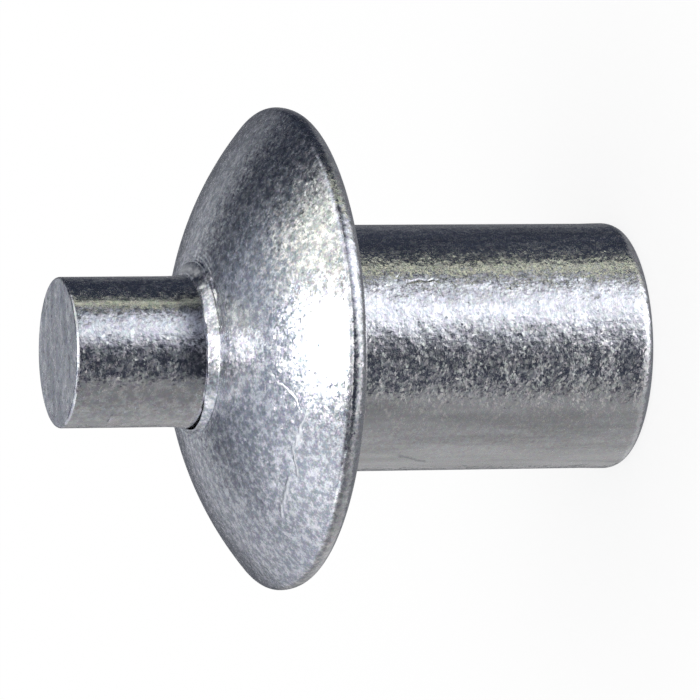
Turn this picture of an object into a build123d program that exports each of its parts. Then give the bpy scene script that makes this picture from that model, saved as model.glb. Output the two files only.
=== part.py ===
from build123d import *
import os

os.makedirs("parts", exist_ok=True)

# A hammer drive anchor stands on its blind end with the pin on top.
# Heights are measured from the head's underside, the face that bears on the work.
# Every piece is turned about Z.

# Driving dimensions, in millimetres
shank_diameter = 6.35  # quarter-inch shank
shank_length = 8.80  # bearing face to blind end
head_diameter = 12.40
rim_height = 0.48  # upright band round the head
dome_rise = 2.44  # crown of the dome over the rim, before the bore opens it
pin_diameter = 3.86
pin_standing = 6.27  # struck end over the bearing face, before it is driven
pilot_diameter = 1.50  # narrow hole between the prongs
slot_width = 0.45
prong_count = 4

# Fits and clearances
pin_fit = 0.0  # radial, pin in its bore: pressed in, line to line
mouth_gap = 0.10  # radial, round the pin inside the lip
driven_setback = 0.05  # a pin driven flush stops this far short of the blind end
slot_skin = 0.25  # metal left outside the slots, so the shank looks plain

# Edges
rim_rounding = 0.20  # lower edge of the rim
rim_crease = 0.20  # where the dome rolls over into the rim
underhead_fillet = 0.25
end_rounding_height = 0.26  # the blind end's corner is drawn out along the shank
end_rounding_width = 0.10
lip_width = 0.22  # turned-up lip that the punched bore leaves on the dome
lip_rise = 0.22
mouth_depth = 0.50
pin_lead = 0.27  # 45 degree lead at the pin's inner end
pin_edge = 0.08  # worn edge of the struck end
shear_angle = 2.4  # the pin is sheared from wire, a little out of square: higher towards the front

# Derived sizes of the body
shank_radius = shank_diameter / 2
head_radius = head_diameter / 2
pin_radius = pin_diameter / 2
bore_radius = pin_radius + pin_fit
pilot_radius = pilot_diameter / 2
mouth_radius = bore_radius + mouth_gap
lip_radius = mouth_radius + lip_width / 2
dome_radius = (head_radius**2 + dome_rise**2) / (2 * dome_rise)
crown_level = rim_height + dome_rise
lip_level = crown_level - dome_radius + (dome_radius**2 - lip_radius**2) ** 0.5
lip_top = lip_level + lip_rise

# Derived levels of the pin: driven flush with the lip it reaches down to the prongs' ends
pin_length = lip_top + shank_length - driven_setback
tip_level = pin_standing - pin_length
shoulder_level = tip_level + pin_lead + pin_fit
shoulder_foot = shoulder_level - (bore_radius - pilot_radius)
slot_reach = shank_radius - slot_skin

# One-piece body: shank, flat-bottomed domed head, stepped bore and slotted prongs
with BuildPart() as anchor_body:
    # Solid of the shank and the head
    with BuildSketch(Plane.XZ) as outline:
        with BuildLine():
            blind_end = Line((0, -shank_length), (shank_radius - end_rounding_width, -shank_length))
            end_corner = EllipticalCenterArc(
                (shank_radius - end_rounding_width, end_rounding_height - shank_length),
                end_rounding_width,
                end_rounding_height,
                start_angle=270,
                arc_size=90,
            )
            side = Polyline(end_corner @ 1, (shank_radius, 0), (head_radius, 0), (head_radius, rim_height))
            dome = TangentArc((0, crown_level), side @ 1, tangent=(1, 0))
            Line(dome @ 0, blind_end @ 0)
        make_face()
    revolve(axis=Axis.Z)
    underside_edges = anchor_body.edges().filter_by_position(Axis.Z, 0, 0).sort_by(SortBy.RADIUS)
    fillet(underside_edges[0], radius=underhead_fillet)
    fillet(underside_edges[-1], radius=rim_rounding)
    crease = anchor_body.edges().filter_by_position(Axis.Z, rim_height - 0.01, rim_height + 0.01)
    fillet(crease, radius=rim_crease)

    # Lip round the mouth of the bore
    with BuildSketch(Plane.XZ) as lip_section:
        with Locations((lip_radius, lip_level)):
            Ellipse(lip_width / 2, lip_rise)
    revolve(axis=Axis.Z)

    # Bore: flared mouth, pressed length, the shoulder under the pin, then the pilot hole
    with BuildSketch(Plane.XZ) as bore_section:
        with BuildLine():
            Polyline(
                (0, lip_top + lip_width),
                (mouth_radius, lip_top + lip_width),
                (mouth_radius, lip_level),
                (bore_radius, lip_top - mouth_depth),
                (bore_radius, shoulder_level),
                (pilot_radius, shoulder_foot),
                (pilot_radius, -shank_length),
                (0, -shank_length),
                close=True,
            )
        make_face()
    revolve(axis=Axis.Z, mode=Mode.SUBTRACT)

    # Crossed slots that part the blind end into prongs, stopping inside the shank's skin
    with BuildSketch(Plane.XY.offset(-shank_length)) as slots:
        with PolarLocations(0, prong_count // 2, angular_range=180):
            SlotOverall(2 * slot_reach, slot_width)
    extrude(amount=shank_length + shoulder_level, mode=Mode.SUBTRACT)

anchor_body.part.label = "anchor_body"
export_step(anchor_body.part, "parts/anchor_body.step")

# Drive pin, pressed in until its lead meets the shoulder
with BuildPart() as drive_pin:
    with BuildSketch(Plane.XY.offset(tip_level)):
        Circle(pin_radius)
    extrude(amount=pin_length + pin_radius)
    chamfer(drive_pin.edges().group_by(Axis.Z)[0], length=pin_lead)
    struck_plane = Plane(origin=(0, 0, pin_standing)).rotated((-shear_angle, 0, 0))
    split(bisect_by=struck_plane, keep=Keep.BOTTOM)
    struck_face = drive_pin.faces().sort_by(Axis.Z)[-1]
    fillet(struck_face.edges(), radius=pin_edge)

drive_pin.part.label = "drive_pin"
export_step(drive_pin.part, "parts/drive_pin.step")

print(f"pin length {pin_length:.2f}, tip {tip_level:.2f}, shoulder {shoulder_level:.2f}, lip {lip_top:.2f}")
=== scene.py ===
import math
import bpy
from mathutils import Matrix, Vector


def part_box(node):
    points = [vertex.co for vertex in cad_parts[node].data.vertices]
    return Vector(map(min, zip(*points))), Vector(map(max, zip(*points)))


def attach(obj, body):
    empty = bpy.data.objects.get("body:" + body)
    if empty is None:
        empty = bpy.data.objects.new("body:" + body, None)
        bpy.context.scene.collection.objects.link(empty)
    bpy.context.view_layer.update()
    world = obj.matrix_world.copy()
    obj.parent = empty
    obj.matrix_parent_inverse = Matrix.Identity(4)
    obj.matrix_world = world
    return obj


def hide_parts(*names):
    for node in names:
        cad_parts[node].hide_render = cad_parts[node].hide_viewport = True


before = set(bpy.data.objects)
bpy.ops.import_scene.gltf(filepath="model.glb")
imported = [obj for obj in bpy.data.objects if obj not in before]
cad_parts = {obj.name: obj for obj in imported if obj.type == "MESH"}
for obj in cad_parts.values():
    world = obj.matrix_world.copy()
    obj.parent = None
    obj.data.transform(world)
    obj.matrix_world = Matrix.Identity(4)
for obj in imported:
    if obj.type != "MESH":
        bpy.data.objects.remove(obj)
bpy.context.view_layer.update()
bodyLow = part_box("anchor_body")[0]
pinLow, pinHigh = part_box("drive_pin")
mm = 0.001
print("frame loaded")


# Edit-mode helpers

shortestStep = 1e-9  # in metres; points nearer than this are drawn once
weldGap = 0.001 * mm
sharpAngle = math.radians(50)  # edges that turn further than this stay sharp


def startFresh():
    if bpy.context.object and bpy.context.object.mode != "OBJECT":
        bpy.ops.object.mode_set(mode="OBJECT")
    bpy.ops.object.select_all(action="DESELECT")


def arcPoints(centre, radius, startAngle, endAngle, steps, stretch=1.0):
    # an arc in the turning plane, as (distance from axis, height); stretch draws it out along the axis
    points = []
    for i in range(steps + 1):
        a = math.radians(startAngle + (endAngle - startAngle) * i / steps)
        points.append((centre[0] + radius * math.cos(a), centre[1] + radius * stretch * math.sin(a)))
    return points


def linePoints(a, b, spacing):
    count = max(1, round(math.dist(a, b) / spacing))
    return [(a[0] + (b[0] - a[0]) * i / count, a[1] + (b[1] - a[1]) * i / count) for i in range(count + 1)]


def turnPiece(name, outline, steps):
    # draws an outline with extruded edges and spins it round Z, as on a lathe
    startFresh()
    bpy.ops.mesh.primitive_plane_add(size=mm, location=(0, 0, 0))
    piece = bpy.context.object
    piece.name = name
    bpy.ops.object.mode_set(mode="EDIT")
    bpy.ops.mesh.select_all(action="SELECT")
    bpy.ops.mesh.merge(type="CENTER")
    bpy.ops.transform.translate(value=(outline[0][0] * mm, 0, outline[0][1] * mm))
    for a, b in zip(outline, outline[1:]):
        step = ((b[0] - a[0]) * mm, 0, (b[1] - a[1]) * mm)
        if math.hypot(step[0], step[2]) > shortestStep:
            bpy.ops.mesh.extrude_region_move(TRANSFORM_OT_translate={"value": step})
    bpy.ops.mesh.select_all(action="SELECT")
    bpy.ops.mesh.spin(steps=steps, angle=2 * math.pi, center=(0, 0, 0), axis=(0, 0, 1))
    bpy.ops.mesh.select_all(action="SELECT")
    bpy.ops.mesh.remove_doubles(threshold=weldGap)
    bpy.ops.mesh.normals_make_consistent(inside=False)
    bpy.ops.object.mode_set(mode="OBJECT")
    bpy.ops.object.shade_smooth_by_angle(angle=sharpAngle)
    return piece


# Body: shank, flat-bottomed domed head, lip and bore

pinLead = 0.27  # height and width of the pin's cone, which seats on the bore's shoulder
bodySizes = {
    "shankRadius": 3.175,
    "headRadius": 6.2,
    "blindEnd": bodyLow.z / mm - 0.015,  # a hair past the plain CAD body
    "rimHeight": 0.50,
    "rimBulge": 0.55,
    "rimTurn": 22,
    "domeEdge": 0.25,
    "domeRise": 2.42,
    "underheadFillet": 0.25,
    "endRoundingWidth": 0.16,
    "endRoundingHeight": 0.30,
    "endBulge": 0.012,
    "endBulgeReach": 0.7,
    "crestRadius": 0.045,
    "crest": 2.895,
    "lipRadius": 2.005,
    "flankWidth": 0.18,
    "flankGap": 0.03,  # between the lip's middle and its flank
    "flankTop": (0.031, 0.026),  # where the flank meets the crest, from the crest's centre
    "crestStart": 40,  # and in which direction that is
    "collarRadius": 2.66,
    "scoring": 0.0012,
    "scoringLines": 5,
    "mouthDepth": 0.50,
    "shoulder": pinLow.z / mm + pinLead,
    "pilotRadius": 0.75,
    "slotWidth": 0.45,
    "slotReach": 2.925,
    # how far apart the outline's points stand
    "spacing": 0.10,
    "flatSpacing": 0.3,
    "lipSpacing": 0.03,
    "mouthSpacing": 0.06,
    "boreSpacing": 1.0,
    # points on a stretch that a formula gives, and steps of the turn
    "swellSteps": 12,
    "collarSteps": 40,
    "turnSteps": 360,
}


def domeArc():
    # the dome's radius and the height of its centre
    s = bodySizes
    radius = (s["headRadius"] ** 2 + s["domeRise"] ** 2) / (2 * s["domeRise"])
    return radius, s["rimHeight"] + s["domeRise"] - radius


def domeLevel(r):
    radius, centre = domeArc()
    return centre + math.sqrt(radius ** 2 - r ** 2)


def endOutline():
    # blind end: its corner drawn out along the shank, which swells slightly over it
    s = bodySizes
    cornerWidth, cornerHeight = s["endRoundingWidth"], s["endRoundingHeight"]
    cornerStart = s["shankRadius"] + s["endBulge"] - cornerWidth
    cornerLevel = s["blindEnd"] + cornerHeight
    points = linePoints((s["pilotRadius"], s["blindEnd"]), (cornerStart, s["blindEnd"]), s["flatSpacing"])
    points += arcPoints(
        (cornerStart, cornerLevel), cornerWidth, 270, 360, steps=14, stretch=cornerHeight / cornerWidth)
    for i in range(1, s["swellSteps"] + 1):
        t = i / s["swellSteps"]
        swell = s["endBulge"] * (1 - t * t * (3 - 2 * t))
        points.append((s["shankRadius"] + swell, cornerLevel + s["endBulgeReach"] * t))
    return points


def shankOutline(start):
    # up the shank's side and round the fillet under the head
    shank, fillet = bodySizes["shankRadius"], bodySizes["underheadFillet"]
    points = linePoints((shank, start[1]), (shank, -fillet), bodySizes["spacing"])
    return points + arcPoints((shank + fillet, -fillet), fillet, 180, 90, steps=6)


def headOutline(start):
    # rim: rounded lower corner, a slightly barrelled band, and the dome rolled over into it
    s = bodySizes
    domeRadius, domeCentre = domeArc()
    edge = s["domeEdge"]
    edgeRadius = s["headRadius"] - edge
    edgeLevel = domeCentre + math.sqrt((domeRadius - edge) ** 2 - edgeRadius ** 2)
    bulge = s["rimBulge"]
    turn = math.radians(s["rimTurn"])
    bandFoot = (s["headRadius"] - bulge * (1 - math.cos(turn)), edgeLevel - bulge * math.sin(turn))
    rimCorner = bandFoot[1] / (1 - math.sin(turn))
    rimCentre = (bandFoot[0] - rimCorner * math.cos(turn), rimCorner)
    points = linePoints((start[0], 0), (rimCentre[0], 0), s["flatSpacing"])
    points += arcPoints(rimCentre, rimCorner, 270, 360 - s["rimTurn"], steps=10)
    points += arcPoints((s["headRadius"] - bulge, edgeLevel), bulge, -s["rimTurn"], 0, steps=8)
    tilt = math.degrees(math.atan2(edgeLevel - domeCentre, edgeRadius))
    points += arcPoints((edgeRadius, edgeLevel), edge, 0, tilt, steps=8)
    domeEnd = math.degrees(math.acos(s["collarRadius"] / domeRadius))
    domeSteps = round(domeRadius * math.radians(domeEnd - tilt) / s["spacing"])
    return points + arcPoints((0, domeCentre), domeRadius, tilt, domeEnd, domeSteps)


def lipOutline():
    # scored collar, then the turned-up lip of the punched bore
    s = bodySizes
    footRadius = s["lipRadius"] + s["flankGap"] + s["flankWidth"]
    points = []
    for i in range(1, s["collarSteps"]):
        t = i / s["collarSteps"]
        r = s["collarRadius"] + (footRadius - s["collarRadius"]) * t
        scoring = s["scoring"] * math.sin(t * s["scoringLines"] * 2 * math.pi)
        points.append((r, domeLevel(r) + scoring))
    crestCentre = (s["lipRadius"], s["crest"] - s["crestRadius"])
    flankTop = (crestCentre[0] + s["flankTop"][0], crestCentre[1] + s["flankTop"][1])
    points += linePoints((footRadius, domeLevel(footRadius)), flankTop, s["lipSpacing"])
    return points + arcPoints(crestCentre, s["crestRadius"], s["crestStart"], 180, steps=6)


def boreOutline(lipEdge):
    # down the flared mouth and the pressed length to the shoulder, then through the pilot hole
    s = bodySizes
    bore = pinHigh.x / mm
    mouthFoot = (bore, s["crest"] - s["mouthDepth"])
    points = linePoints((lipEdge[0], lipEdge[1] - s["lipSpacing"]), mouthFoot, s["mouthSpacing"])
    points += linePoints(mouthFoot, (bore, s["shoulder"]), s["boreSpacing"])
    points += [(s["pilotRadius"], s["shoulder"] - (bore - s["pilotRadius"]))]
    return points + linePoints(points[-1], (s["pilotRadius"], s["blindEnd"]), s["boreSpacing"])


def makeBody():
    outline = endOutline()
    outline += shankOutline(outline[-1])
    outline += headOutline(outline[-1])
    outline += lipOutline()
    outline += boreOutline(outline[-1])
    shell = turnPiece("body_shell", outline, bodySizes["turnSteps"])
    wearLip(shell)
    cutSlots(shell)
    return shell


lipWear = {
    "lowest": 2.3,  # nothing under this level is worn
    "lipShift": 0.07,  # how far the lip stands off centre
    "shiftWidth": 0.4,  # the shift grows inwards from the collar's edge over this width
    "shiftLevel": 2.40,  # and upwards from this level
    "shiftHeight": 0.25,  # over this height
    "crestReach": 0.16,
    "crestRipple": 0.014,
    "edgeRipple": 0.012,
    "flankPlace": 0.19,  # outwards from the lip's middle
    "flankReach": 0.2,
    "sunkEdge": 0.26,  # outwards from the lip's middle
    "sunkWidth": 0.2,
    "notchRadius": 2.33,
    "notchReach": 0.075,
    "notchTeeth": 31,
    "notchTooth": 0.3,  # as a share of the notch's depth
    "ridgeRadius": 2.32,
    "ridgeReach": 0.3,
    "ridgeTurn": 70,  # radians of the wave to a millimetre
    "ridgeWaver": 1.5,
    # degrees round from the front, reach either side, amount
    "burr": (30, 13, 0.03),
    "notch": (52, 36, 0.05),
    "sunkSide": (-80, 60, 0.13),
    "steepSide": (-75, 65, 0.11),
    "shallowSide": (105, 75, 0.12),
    "ridges": (80, 80, 0.006),
}


def bell(value, middle, reach):
    # 1 at the middle, easing to 0 at the given reach either side
    t = max(0.0, 1 - abs(value - middle) / reach)
    return t * t * (3 - 2 * t)


def ripple(angle, seed):
    # an uneven wave round the lip, within 1 either way; each seed gives another one
    return (math.sin(5 * angle + seed) + 0.7 * math.sin(11 * angle + 2.1 * seed)
            + 0.5 * math.sin(23 * angle + 3.7 * seed)) / 2.2


def wearAt(name, around):
    # the size of one kind of wear at an angle round the lip
    middle, reach, amount = lipWear[name]
    return amount * bell(around, math.radians(middle), math.radians(reach))


def wearLip(shell):
    # the lip stands a little off centre round the pin, its crest uneven, with a torn notch beside it
    w = lipWear
    collar, lip = bodySizes["collarRadius"], bodySizes["lipRadius"]
    for v in shell.data.vertices:
        x, y, z = v.co.x / mm, v.co.y / mm, v.co.z / mm
        r = math.hypot(x, y)
        if r > collar or z < w["lowest"]:
            continue
        around = math.atan2(x, -y)
        share = min(1, (collar - r) / w["shiftWidth"])
        share *= min(1, max(0, z - w["shiftLevel"]) / w["shiftHeight"])
        crest = bell(r, lip, w["crestReach"])
        flank = bell(r, lip + w["flankPlace"], w["flankReach"])
        inside = min(1, max(0, (lip + w["sunkEdge"] - r) / w["sunkWidth"]))
        torn = bell(r, w["notchRadius"], w["notchReach"])
        torn *= 1 + w["notchTooth"] * math.sin(w["notchTeeth"] * around)
        wave = math.sin(r * w["ridgeTurn"] + w["ridgeWaver"] * ripple(around, seed=4.0))
        ridges = bell(r, w["ridgeRadius"], w["ridgeReach"]) * wave
        lift = crest * (w["crestRipple"] * ripple(around, seed=1.0) + wearAt("burr", around))
        lift -= wearAt("notch", around) * torn
        lift -= wearAt("sunkSide", around) * inside
        lift += wearAt("ridges", around) * ridges
        spread = w["edgeRipple"] * ripple(around, seed=2.3) * crest
        spread += flank * (wearAt("shallowSide", around) - wearAt("steepSide", around))
        v.co.z += mm * lift
        v.co.x += mm * (spread * math.sin(around) - w["lipShift"] * share)
        v.co.y -= mm * spread * math.cos(around)


def cutSlots(shell):
    # crossed slots, closed off inside the shank's skin
    s = bodySizes
    half = s["slotWidth"] / 2
    below = 0.5  # the cutters start this far under the blind end
    depth = s["shoulder"] - s["blindEnd"] + below
    for turn in (0, 90):
        startFresh()
        middle = (0, 0, (s["blindEnd"] + s["shoulder"] - below) / 2 * mm)
        bpy.ops.mesh.primitive_cylinder_add(vertices=32, radius=half * mm, depth=depth * mm, location=middle)
        cutter = bpy.context.object
        bpy.ops.object.transform_apply(location=True, rotation=True, scale=True)
        # its two sides are drawn apart, and the points in the middle go with one of them
        for v in cutter.data.vertices:
            v.co.x += math.copysign((s["slotReach"] - half) * mm, v.co.x + weldGap)
        cutter.data.transform(Matrix.Rotation(math.radians(turn), 4, "Z"))
        cut = shell.modifiers.new("slot", "BOOLEAN")
        cut.operation = "DIFFERENCE"
        cut.solver = "EXACT"
        cut.object = cutter
        startFresh()
        shell.select_set(True)
        bpy.context.view_layer.objects.active = shell
        bpy.ops.object.modifier_apply(modifier=cut.name)
        bpy.data.objects.remove(cutter, do_unlink=True)
    bpy.ops.object.shade_smooth_by_angle(angle=sharpAngle)


body = makeBody()
print("body done", len(body.data.vertices))


# Drive pin: wire cut to length by shearing

pinSizes = {
    "radius": pinHigh.x / mm,
    "tip": pinLow.z / mm,
    "standing": 6.27,
    "lead": pinLead,
    "edge": 0.08,
    "shearAngle": 2.4,
    "shearReach": 2.0,
    "shift": 0.045,
    "gripLevel": 2.85,
    "upsetReach": 0.55,
    "upset": 0.05,
    "fineFrom": 2.0,  # from this level up the points stand close together
    "spacing": 0.08,
    "tipSpacing": 0.3,
    "leadSpacing": 0.1,
    "hiddenSpacing": 1.0,
    "turnSteps": 240,
}


def makePin():
    s = pinSizes
    outline = linePoints((0, s["tip"]), (s["radius"] - s["lead"], s["tip"]), s["tipSpacing"])
    outline += linePoints(outline[-1], (s["radius"], s["tip"] + s["lead"]), s["leadSpacing"])
    outline += linePoints(outline[-1], (s["radius"], s["fineFrom"]), s["hiddenSpacing"])
    top = s["standing"]
    shearFoot = top - s["shearReach"]
    outline += linePoints(outline[-1], (s["radius"], top - s["edge"]), s["spacing"])
    outline += arcPoints((s["radius"] - s["edge"], top - s["edge"]), s["edge"], 0, 90, steps=6)
    outline += linePoints(outline[-1], (0, top), s["spacing"])
    pin = turnPiece("pin_shell", outline, s["turnSteps"])
    lean = math.tan(math.radians(s["shearAngle"]))
    for v in pin.data.vertices:
        # the struck end leans, easing off down the pin, which swells a little at the lip
        if v.co.z > shearFoot * mm:
            share = (v.co.z - shearFoot * mm) / (s["shearReach"] * mm)
            v.co.z -= v.co.y * lean * share
        rise = 1 - (v.co.z / mm - s["gripLevel"]) / s["upsetReach"]
        if 0 < rise <= 1:
            swell = 1 + s["upset"] * rise * rise / s["radius"]
            v.co.x *= swell
            v.co.y *= swell
        # and its outer part stands off centre, to the same side as the lip
        if v.co.z > s["tip"] * mm / 2:
            v.co.x -= s["shift"] * mm
    return pin


pin = makePin()
print("pin turned", len(pin.data.vertices))


# Materials

def newMaterial(name):
    material = bpy.data.materials.new(name)
    material.use_nodes = True
    material.node_tree.nodes.clear()
    return material, material.node_tree.nodes, material.node_tree.links


def newGroup(name, inputs, outputs):
    # inputs: label and value, None for a vector that gets linked; outputs: label and kind
    group = bpy.data.node_groups.new(name, "ShaderNodeTree")
    for label, value in inputs.items():
        kind = "NodeSocketFloat" if isinstance(value, float) else "NodeSocketVector"
        socket = group.interface.new_socket(label, in_out="INPUT", socket_type=kind)
        if value is not None:
            socket.default_value = value
    for label, kind in outputs.items():
        group.interface.new_socket(label, in_out="OUTPUT", socket_type="NodeSocket" + kind)
    return group, group.nodes.new("NodeGroupInput"), group.nodes.new("NodeGroupOutput")


def feed(links, socket, value):
    if isinstance(value, bpy.types.NodeSocket):
        links.new(value, socket)
    else:
        socket.default_value = value


def placeGroup(nodes, links, group, values):
    node = nodes.new("ShaderNodeGroup")
    node.node_tree = group
    for label, value in values.items():
        feed(links, node.inputs[label], value)
    return node.outputs


def addMath(nodes, links, operation, a, b, vector=False):
    node = nodes.new("ShaderNodeVectorMath" if vector else "ShaderNodeMath")
    node.operation = operation
    feed(links, node.inputs[0], a)
    if b is not None:
        feed(links, node.inputs[1], b)
    return node.outputs[0]


def addScale(nodes, links, vector, amount):
    node = nodes.new("ShaderNodeVectorMath")
    node.operation = "SCALE"
    links.new(vector, node.inputs[0])
    links.new(amount, node.inputs["Scale"])
    return node.outputs[0]


def addNoise(nodes, links, vector, scale, detail, roughness=0.5):
    noise = nodes.new("ShaderNodeTexNoise")
    for label, value in (("Vector", vector), ("Scale", scale), ("Detail", detail), ("Roughness", roughness)):
        feed(links, noise.inputs[label], value)
    return noise.outputs


def addRange(nodes, links, value, low, high, toLow, toHigh, smooth=False):
    node = nodes.new("ShaderNodeMapRange")
    if smooth:
        node.interpolation_type = "SMOOTHSTEP"
    for label, number in (("From Min", low), ("From Max", high), ("To Min", toLow), ("To Max", toHigh)):
        feed(links, node.inputs[label], number)
    links.new(value, node.inputs["Value"])
    return node.outputs["Result"]


def addMix(nodes, links, factor, a, b):
    node = nodes.new("ShaderNodeMix")
    node.data_type = "RGBA"
    for label, value in (("Factor", factor), ("A", a), ("B", b)):
        feed(links, node.inputs[label], value)
    return node.outputs["Result"]


def addBump(nodes, links, height, depth, normal=None, invert=False):
    bump = nodes.new("ShaderNodeBump")
    bump.invert = invert
    bump.inputs["Strength"].default_value = 1
    feed(links, bump.inputs["Distance"], depth)
    links.new(height, bump.inputs["Height"])
    if normal is not None:
        links.new(normal, bump.inputs["Normal"])
    return bump.outputs["Normal"]


def makeWorkedGroup():
    # shallow dents all over, and draw lines along the side that fade out towards the formed end
    group, taken, given = newGroup(
        "workedSurface",
        {"Vector": None, "Formed": 0.0, "Polish": 0.0, "Dent Scale": 1.6, "Dent Depth": 0.00005,
         "Formed Dents": 0.4, "Line Scale": (6, 6, 0.5), "Line Depth": 0.000006},
        {"Normal": "Vector"})
    nodes, links, values = group.nodes, group.links, taken.outputs
    dents = addNoise(nodes, links, values["Vector"], values["Dent Scale"], detail=4.0, roughness=0.6)["Fac"]
    dents = addMath(nodes, links, "SUBTRACT", dents, 0.5)
    share = addRange(nodes, links, values["Formed"], 0.0, 1.0, 1.0, values["Formed Dents"])
    worn = addMath(nodes, links, "SUBTRACT", 1.0, values["Polish"])
    share = addMath(nodes, links, "MULTIPLY", share, worn)
    wave = addBump(nodes, links, addMath(nodes, links, "MULTIPLY", dents, share), values["Dent Depth"])
    stretched = addMath(nodes, links, "MULTIPLY", values["Vector"], values["Line Scale"], True)
    lines = addNoise(nodes, links, stretched, scale=1.0, detail=3.0)["Fac"]
    lines = addMath(nodes, links, "SUBTRACT", lines, 0.5)
    drawn = addMath(nodes, links, "SUBTRACT", 1.0, values["Formed"])
    lines = addMath(nodes, links, "MULTIPLY", lines, drawn)
    normal = addBump(nodes, links, lines, values["Line Depth"], wave)
    links.new(normal, given.inputs["Normal"])
    return group


def makeGrainGroup():
    # tilts the normal from one tiny facet of the metal to the next; a few facets tilt much further
    group, taken, given = newGroup(
        "grainFacets",
        {"Vector": None, "Normal": None, "Scale": 14.0, "Tilt": 0.2, "Flecks": 0.6, "Polish": 0.0},
        {"Normal": "Vector", "Tint": "Color"})
    nodes, links, values = group.nodes, group.links, taken.outputs
    cells = nodes.new("ShaderNodeTexVoronoi")
    links.new(values["Vector"], cells.inputs["Vector"])
    links.new(values["Scale"], cells.inputs["Scale"])
    odds = nodes.new("ShaderNodeTexWhiteNoise")
    links.new(cells.outputs["Position"], odds.inputs["Vector"])
    rarity = 6.0
    rare = addMath(nodes, links, "POWER", odds.outputs["Value"], rarity)
    rare = addMath(nodes, links, "MULTIPLY", rare, values["Flecks"])
    reach = addMath(nodes, links, "ADD", rare, values["Tilt"])
    worn = addMath(nodes, links, "SUBTRACT", 1.0, values["Polish"])
    reach = addMath(nodes, links, "MULTIPLY", reach, worn)
    way = addMath(nodes, links, "SUBTRACT", cells.outputs["Color"], (0.5, 0.5, 0.5), True)
    tilted = addMath(nodes, links, "ADD", values["Normal"], addScale(nodes, links, way, reach), True)
    links.new(addMath(nodes, links, "NORMALIZE", tilted, None, True), given.inputs["Normal"])
    links.new(cells.outputs["Color"], given.inputs["Tint"])
    return group


def makeStainGroup():
    # how far each point is tarnished, smeared and pitted
    group, taken, given = newGroup(
        "metalStains",
        {"Vector": None, "Formed": 0.0, "Tarnish Scale": 4.0, "Tarnish From": 0.4, "Tarnish To": 0.6,
         "Side Tarnish": 0.1, "Formed Tarnish": 0.6, "Smear Scale": (2, 2, 0.25), "Side Smear": 0.4,
         "Formed Smear": 0.0, "Pit Scale": 6.0},
        {"Tarnish": "Float", "Smear": "Float", "Pits": "Float"})
    nodes, links, values = group.nodes, group.links, taken.outputs
    blotches = addNoise(
        nodes, links, values["Vector"], values["Tarnish Scale"], detail=6.0, roughness=0.8)["Fac"]
    mottle = addRange(nodes, links, blotches, values["Tarnish From"], values["Tarnish To"], 1.0, 0.0)
    amount = addRange(
        nodes, links, values["Formed"], 0.0, 1.0, values["Side Tarnish"], values["Formed Tarnish"])
    links.new(addMath(nodes, links, "MULTIPLY", mottle, amount), given.inputs["Tarnish"])
    stretched = addMath(nodes, links, "MULTIPLY", values["Vector"], values["Smear Scale"], True)
    streaks = addNoise(nodes, links, stretched, scale=1.0, detail=4.0, roughness=0.6)["Fac"]
    smearFrom, smearTo = 0.42, 0.64
    streaks = addRange(nodes, links, streaks, smearFrom, smearTo, 0.0, 1.0)
    amount = addRange(nodes, links, values["Formed"], 0.0, 1.0, values["Side Smear"], values["Formed Smear"])
    links.new(addMath(nodes, links, "MULTIPLY", streaks, amount), given.inputs["Smear"])
    pits = addNoise(nodes, links, values["Vector"], values["Pit Scale"], detail=3.0, roughness=0.8)["Fac"]
    links.new(pits, given.inputs["Pits"])
    return group


def makeLineMaskGroup():
    # a mask along a short line: 1 on the line, fading to 0 at its sides and towards its ends; it places
    # small marks, the painted shade at the pin's root, polished bands and creases
    group, taken, given = newGroup(
        "lineMask",
        {"Vector": None, "Place": None, "Along": None, "Length": 1.0, "Width": 0.05, "Wobble": 0.1},
        {"Mask": "Float"})
    nodes, links, values = group.nodes, group.links, taken.outputs
    wander = addNoise(nodes, links, values["Vector"], scale=4.0, detail=4.0)["Color"]
    way = addMath(nodes, links, "SUBTRACT", wander, (0.5, 0.5, 0.5), True)
    fromPlace = addMath(nodes, links, "SUBTRACT", values["Vector"], values["Place"], True)
    offset = addMath(nodes, links, "ADD", fromPlace, addScale(nodes, links, way, values["Wobble"]), True)
    dot = nodes.new("ShaderNodeVectorMath")
    dot.operation = "DOT_PRODUCT"
    links.new(offset, dot.inputs[0])
    links.new(values["Along"], dot.inputs[1])
    reach = addMath(nodes, links, "ABSOLUTE", dot.outputs["Value"], None)
    endShare = addMath(nodes, links, "DIVIDE", reach, values["Length"])
    onLine = addScale(nodes, links, values["Along"], dot.outputs["Value"])
    away = nodes.new("ShaderNodeVectorMath")
    away.operation = "LENGTH"
    links.new(addMath(nodes, links, "SUBTRACT", offset, onLine, True), away.inputs[0])
    sideShare = addMath(nodes, links, "DIVIDE", away.outputs["Value"], values["Width"])
    alongMask = addRange(nodes, links, endShare, 0.3, 0.5, 1.0, 0.0, smooth=True)
    sideMask = addRange(nodes, links, sideShare, 0.0, 0.5, 1.0, 0.0, smooth=True)
    links.new(addMath(nodes, links, "MULTIPLY", alongMask, sideMask), given.inputs["Mask"])
    return group


workedGroup = makeWorkedGroup()
grainGroup = makeGrainGroup()
stainGroup = makeStainGroup()
lineMaskGroup = makeLineMaskGroup()


def addMarks(nodes, links, place, marks):
    # the strongest of a list of marks at each point
    total = None
    for spot, along, length, width, wobble in marks:
        values = {"Vector": place, "Place": spot, "Along": Vector(along).normalized(),
                  "Length": length, "Width": width, "Wobble": wobble}
        mask = placeGroup(nodes, links, lineMaskGroup, values)["Mask"]
        total = mask if total is None else addMath(nodes, links, "MAXIMUM", total, mask)
    return total


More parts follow.
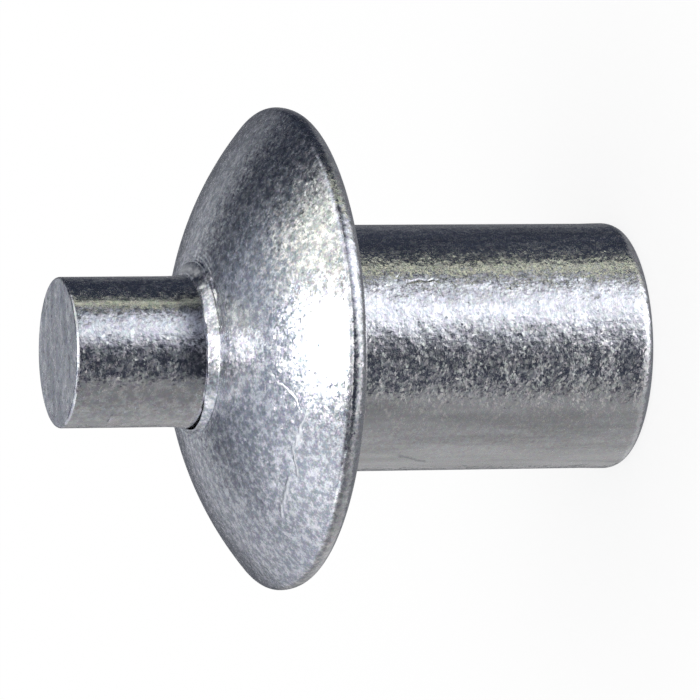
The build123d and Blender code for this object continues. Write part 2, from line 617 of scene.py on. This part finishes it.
def metal(name, look):
    material, nodes, links = newMaterial(name)
    out = nodes.new("ShaderNodeOutputMaterial")
    shader = nodes.new("ShaderNodeBsdfPrincipled")
    shader.inputs["Metallic"].default_value = 1
    coords = nodes.new("ShaderNodeTexCoord")
    mapping = nodes.new("ShaderNodeMapping")
    mapping.inputs["Scale"].default_value = (1 / mm, 1 / mm, 1 / mm)  # patterns are in millimetres
    links.new(coords.outputs["Object"], mapping.inputs["Vector"])
    place = mapping.outputs["Vector"]
    axes = nodes.new("ShaderNodeSeparateXYZ")
    links.new(coords.outputs["Normal"] if look["formedByFacing"] else place, axes.inputs["Vector"])
    # 1 on the formed end, 0 on the drawn side
    formed = addRange(nodes, links, axes.outputs["Z"], look["formedFrom"], look["formedTo"], 0.0, 1.0)
    rubbed = addMarks(nodes, links, place, look["polished"])
    polish = addMath(nodes, links, "MULTIPLY", rubbed, look["polish"])
    worked = placeGroup(nodes, links, workedGroup, {
        "Vector": place, "Formed": formed, "Polish": polish, "Dent Scale": look["dentScale"],
        "Dent Depth": look["dentDepth"] * mm, "Formed Dents": look["formedDents"],
        "Line Scale": look["drawnScale"], "Line Depth": look["drawnDepth"] * mm})
    tilt = addRange(nodes, links, formed, 0.0, 1.0, look["grainTilt"], look["formedTilt"])
    grain = placeGroup(nodes, links, grainGroup, {
        "Vector": place, "Normal": worked["Normal"], "Scale": look["grainScale"], "Tilt": tilt,
        "Flecks": look["flecks"], "Polish": polish})
    finish = grain["Normal"]
    stains = placeGroup(nodes, links, stainGroup, {
        "Vector": place, "Formed": formed, "Tarnish Scale": look["tarnishScale"],
        "Tarnish From": look["tarnishFrom"], "Tarnish To": look["tarnishTo"],
        "Side Tarnish": look["sideTarnish"], "Formed Tarnish": look["formedTarnish"],
        "Smear Scale": look["smearScale"], "Side Smear": look["sideSmear"],
        "Formed Smear": look["formedSmear"], "Pit Scale": look["pitScale"]})
    colour = addMix(nodes, links, stains["Tarnish"], (*look["colour"], 1), (*look["tarnish"], 1))
    colour = addMix(nodes, links, stains["Smear"], colour, (*look["smear"], 1))
    colour = addMix(nodes, links, look["tint"], colour, grain["Tint"])
    matt = addRange(
        nodes, links, stains["Pits"], look["mattFrom"], look["mattTo"],
        look["roughness"], look["mattRoughness"])
    # dark marks mixed into the colour and pressed in a little; on the pin the widest one is painted shade
    # round its root by the lip
    marks = addMarks(nodes, links, place, look["marks"])
    shade = addMath(nodes, links, "MULTIPLY", marks, look["markShade"])
    colour = addMix(nodes, links, shade, colour, (*look["markAndShadeColour"], 1))
    finish = addBump(nodes, links, marks, look["markDepth"] * mm, finish, invert=True)
    creases = addMarks(nodes, links, place, look["creases"])
    if creases is not None:
        shine = addMath(nodes, links, "MULTIPLY", creases, look["creaseShine"])
        colour = addMix(nodes, links, shine, colour, (*look["creaseColour"], 1))
        finish = addBump(nodes, links, creases, look["creaseHeight"] * mm, finish)
        dulled = addMath(nodes, links, "MULTIPLY", creases, look["creaseMatt"])
        matt = addMath(nodes, links, "ADD", matt, dulled)
    links.new(colour, shader.inputs["Base Color"])
    links.new(finish, shader.inputs["Normal"])
    links.new(matt, shader.inputs["Roughness"])
    links.new(shader.outputs["BSDF"], out.inputs["Surface"])
    return material


def dress(piece, material):
    piece.data.materials.clear()
    piece.data.materials.append(material)
    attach(piece, "root")


bodyLook = {
    "colour": (0.88, 0.88, 0.89),
    "tarnish": (0.16, 0.18, 0.24),
    "tarnishScale": 4.5,
    "tarnishFrom": 0.46,
    "tarnishTo": 0.57,
    "sideTarnish": 0.06,
    "formedTarnish": 0.65,
    "smear": (0.40, 0.40, 0.40),
    "smearScale": (2.0, 2.0, 0.25),
    "sideSmear": 0.40,
    "formedSmear": 0.0,
    "roughness": 0.16,
    "mattRoughness": 0.32,
    "mattFrom": 0.40,
    "mattTo": 0.62,
    "formedByFacing": False,
    "formedFrom": 0.0,
    "formedTo": 0.4,
    "formedDents": 0.4,
    "dentScale": 1.6,
    "dentDepth": 0.045,
    "drawnScale": (6, 6, 0.5),
    "drawnDepth": 0.006,
    "pitScale": 6.0,
    "grainScale": 16.0,
    "grainTilt": 0.09,
    "formedTilt": 0.085,
    "flecks": 0.16,
    "tint": 0.07,
    "polish": 0.2,
    # polished bands, marks and creases: place, direction, length, width, wobble
    "polished": [
        ((1.95, -2.5, -4.4), (0.0, 0.0, 1.0), 16.0, 0.9, 0.1),
    ],
    "marks": [
        ((1.5, -2.8, -3.05), (0.82, 0.45, 0.35), 0.6, 0.08, 0.15),
        ((1.7, -2.7, -2.7), (0.0, 0.0, 1.0), 1.0, 0.13, 0.25),
        ((1.85, -2.6, -2.05), (0.65, 0.45, -0.6), 0.25, 0.08, 0.02),
        ((0.2, -3.16, -5.9), (1.0, 0.1, 0.1), 0.5, 0.05, 0.1),
        ((-2.85, -1.4, -2.8), (-0.2, 0.4, -0.9), 1.3, 0.20, 0.3),
    ],
    # how dark the marks go, their colour and depth; the pin's painted shade at its root takes the same
    # colour
    "markShade": 0.4,
    "markAndShadeColour": (0.10, 0.11, 0.15),
    "markDepth": 0.01,
    "creases": [
        ((2.05, -0.15, 2.80), (0.05, 1.0, 0.0), 2.0, 0.55, 0.2),
        ((1.65, -1.30, 2.80), (-0.6, 0.8, 0.0), 1.6, 0.30, 0.15),
        ((-2.1, -4.65, 1.38), (-0.83, 0.55, 0.1), 1.5, 0.16, 0.2),
        ((-2.85, -4.25, 1.35), (-0.95, 0.22, -0.2), 1.1, 0.13, 0.15),
        ((-3.6, -3.6, 1.38), (-0.72, 0.66, -0.06), 1.3, 0.18, 0.2),
        ((-4.1, -3.1, 1.34), (-0.8, 0.5, -0.2), 0.5, 0.15, 0.05),
        ((-0.9, -4.35, 1.75), (-0.55, -0.7, -0.45), 1.1, 0.12, 0.3),
        ((-1.4, -4.75, 1.48), (-0.9, -0.28, -0.3), 0.8, 0.12, 0.2),
    ],
    "creaseColour": (0.95, 0.95, 0.95),
    "creaseShine": 0.8,
    "creaseMatt": 0.25,
    "creaseHeight": 0.012,
}
pinLook = dict(
    bodyLook,
    colour=(0.84, 0.84, 0.85),
    tarnishScale=3.0, sideTarnish=0.30, formedTarnish=0.65,
    formedByFacing=True, formedFrom=0.5, formedTo=0.9, formedDents=1.2,
    smear=(0.28, 0.30, 0.34), smearScale=(0.6, 1.7, 0.5), sideSmear=0.15, formedSmear=0.9,
    grainScale=13.0, grainTilt=0.09, formedTilt=0.10, flecks=0.2, polish=0.9, markShade=0.8,
    polished=[((1.2, -1.48, 4.6), (0.0, 0.0, 1.0), 6.0, 0.8, 0.05)],
    # the first mark is painted shade: a wide dark band round the pin's root just over the lip, which is why
    # the pin's marks are set darker; the other two are small marks
    marks=[
        ((0.5, -1.85, 3.05), (0.95, 0.3, 0.0), 3.0, 1.7, 0.15),
        ((-1.7, -0.95, 5.2), (-0.5, 0.85, 0.1), 0.5, 0.12, 0.1),
        ((-1.2, -1.5, 4.7), (-0.8, 0.6, -0.2), 1.0, 0.03, 0.02),
    ],
    creases=[],
)
dress(body, metal("bodyMetal", bodyLook))
dress(pin, metal("pinMetal", pinLook))
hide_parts("anchor_body")
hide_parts("drive_pin")
print("materials done")


# Studio: white world, pale floor, reflection cards round the part

def hideFrom(obj, *rays):
    for ray in rays:
        setattr(obj, "visible_" + ray, False)


def onlyReflected(obj):
    hideFrom(obj, "camera", "diffuse", "shadow", "transmission", "volume_scatter")


def makeWorld():
    world = bpy.data.worlds.new("studioWorld")
    bpy.context.scene.world = world
    world.use_nodes = True
    background = world.node_tree.nodes["Background"]
    background.inputs["Color"].default_value = (1, 1, 1, 1)
    background.inputs["Strength"].default_value = 1.0


paperFloor = {"size": 3.0, "glow": 0.8}


def makeFloor():
    startFresh()
    level = bodySizes["blindEnd"] * mm
    bpy.ops.mesh.primitive_plane_add(size=paperFloor["size"], location=(0, 0, level))
    floor = bpy.context.object
    floor.name = "studio_floor"
    material, nodes, links = newMaterial("floorPaper")
    out = nodes.new("ShaderNodeOutputMaterial")
    paper = nodes.new("ShaderNodeBsdfDiffuse")
    paper.inputs["Color"].default_value = (1, 1, 1, 1)
    glow = nodes.new("ShaderNodeEmission")
    mix = nodes.new("ShaderNodeMixShader")
    mix.inputs["Fac"].default_value = paperFloor["glow"]
    links.new(paper.outputs["BSDF"], mix.inputs[1])
    links.new(glow.outputs["Emission"], mix.inputs[2])
    links.new(mix.outputs["Shader"], out.inputs["Surface"])
    floor.data.materials.append(material)
    hideFrom(floor, "glossy")


# The metal reflects a dim room, as if the part lay on a pale table under a window: table on the -X side,
# ceiling on the +X side. The camera doesn't see the room or its cards.
# around: degrees round the axis from the front (-Y) towards +X; up: degrees over the horizon
# nearest and step: how far off the first light stands, and how much further each next one
room = {"radius": 0.6, "brightness": 0.045, "colour": (0.76, 0.9, 1.35), "nearest": 0.25, "step": 0.003}
studioLights = {
    # name: (around, up, width, height, brightness, colour, soft edges)
    "table": (-100, -20, 110, 60, 0.23, (1.0, 0.98, 0.93), False),
    "tableGlow": (-140, -20, 120, 70, 0.15, (1.0, 0.99, 0.96), True),
    "frontWindow": (37, -32, 68, 90, 1.4, (0.95, 0.98, 1.06), True),
    "warmStrip": (79, -15, 5.5, 60, 1.15, (0.98, 1.0, 0.74), False),
    "backWall": (160, -15, 50, 50, 0.15, (1.0, 1.0, 1.0), True),
    "lowFront": (10, -46, 110, 44, 1.1, (1.0, 1.0, 1.0), True),
    "floorSheet": (0, -89, 120, 120, 0.16, (1.0, 1.0, 1.0), False),
    "endWindow": (9, 76, 27, 39, 3.7, (1.0, 1.0, 1.0), False),
    "frontTop": (18, 42, 94, 80, 1.3, (1.0, 1.0, 1.0), True),
    "frontLow": (15, 15, 130, 24, 1.6, (1.0, 0.99, 0.97), True),
    "tableTop": (-88, 58, 80, 50, 0.9, (0.97, 0.99, 1.03), True),
    "tablePanel": (-110, 25, 110, 80, 0.8, (0.95, 0.98, 1.05), True),
    "ceilingPanel": (98, 61, 46, 40, 1.6, (1.0, 1.0, 0.84), True),
    "tableLow": (-72, 22, 60, 44, 1.2, (1.0, 1.0, 1.0), True),
    "ceilingLow": (76, 36, 74, 60, 1.3, (0.98, 1.0, 1.02), True),
    "backPanel": (182, 16, 84, 46, 0.55, (0.97, 0.99, 1.03), True),
    "overhead": (180, 70, 90, 80, 0.55, (0.9, 0.97, 1.1), True),
}


def aimed(around, up):
    a, e = math.radians(around), math.radians(up)
    return Vector((math.sin(a) * math.cos(e), -math.cos(a) * math.cos(e), math.sin(e)))


def makeCard(name, around, up, width, height, distance, brightness, colour, soft=False):
    startFresh()
    direction = aimed(around, up)
    bpy.ops.mesh.primitive_plane_add(size=1.0)
    card = bpy.context.object
    card.name = name
    across = 2 * distance * math.tan(math.radians(width / 2))
    along = 2 * distance * math.tan(math.radians(height / 2))
    size = Matrix.Diagonal((across, along, 1, 1))
    turnTo = direction.to_track_quat("Z", "Y").to_matrix().to_4x4()
    card.data.transform(Matrix.Translation(direction * distance) @ turnTo @ size)
    material, nodes, links = newMaterial(name + "Paint")
    out = nodes.new("ShaderNodeOutputMaterial")
    glow = nodes.new("ShaderNodeEmission")
    glow.inputs["Color"].default_value = (*colour, 1)
    glow.inputs["Strength"].default_value = brightness
    clear = nodes.new("ShaderNodeBsdfTransparent")
    both = nodes.new("ShaderNodeAddShader")
    links.new(clear.outputs["BSDF"], both.inputs[0])
    links.new(glow.outputs["Emission"], both.inputs[1])
    links.new(both.outputs["Shader"], out.inputs["Surface"])
    if soft:
        uv = nodes.new("ShaderNodeTexCoord")
        middle = addMath(nodes, links, "SUBTRACT", uv.outputs["UV"], (0.5, 0.5, 0.0), True)
        away = nodes.new("ShaderNodeVectorMath")
        away.operation = "LENGTH"
        links.new(middle, away.inputs[0])
        fade = addRange(nodes, links, away.outputs["Value"], 0.0, 0.5, brightness, 0.0, smooth=True)
        links.new(fade, glow.inputs["Strength"])
    material.cycles.emission_sampling = "NONE"
    card.data.materials.append(material)
    onlyReflected(card)


def makeRoom():
    startFresh()
    bpy.ops.mesh.primitive_uv_sphere_add(segments=48, ring_count=24, radius=room["radius"])
    shell = bpy.context.object
    shell.name = "room"
    material, nodes, links = newMaterial("roomCloth")
    out = nodes.new("ShaderNodeOutputMaterial")
    glow = nodes.new("ShaderNodeEmission")
    glow.inputs["Color"].default_value = (*room["colour"], 1)
    glow.inputs["Strength"].default_value = room["brightness"]
    links.new(glow.outputs["Emission"], out.inputs["Surface"])
    material.cycles.emission_sampling = "NONE"
    shell.data.materials.append(material)
    onlyReflected(shell)


def makeLights():
    # the cards let each other's light through, so they add up where they cross
    for i, (name, (around, up, width, height, brightness, colour, soft)) in enumerate(studioLights.items()):
        distance = room["nearest"] + room["step"] * i
        makeCard(name, around, up, width, height, distance, brightness, colour, soft)


makeWorld()
makeFloor()
makeRoom()
makeLights()
print("studio set")


# Camera: low over the head, turned on its side so that the pin points left

view = {"lookAt": (-0.05, 0, -1.62), "elevation": 19.29, "roll": -90.56, "distance": 223.05, "lens": 445.3}


def makeCamera():
    startFresh()
    e = math.radians(view["elevation"])
    back = Vector((0, -math.cos(e), math.sin(e)))
    bpy.ops.object.camera_add()
    camera = bpy.context.object
    camera.data.lens = view["lens"]
    camera.data.clip_start = 0.01
    camera.data.clip_end = 10
    turned = Matrix.Rotation(math.pi / 2 - e, 4, "X") @ Matrix.Rotation(math.radians(view["roll"]), 4, "Z")
    place = Vector(view["lookAt"]) * mm + back * view["distance"] * mm
    camera.matrix_world = Matrix.Translation(place) @ turned
    bpy.context.scene.camera = camera


makeCamera()
bpy.context.scene.view_settings.view_transform = "Standard"
print("camera set")
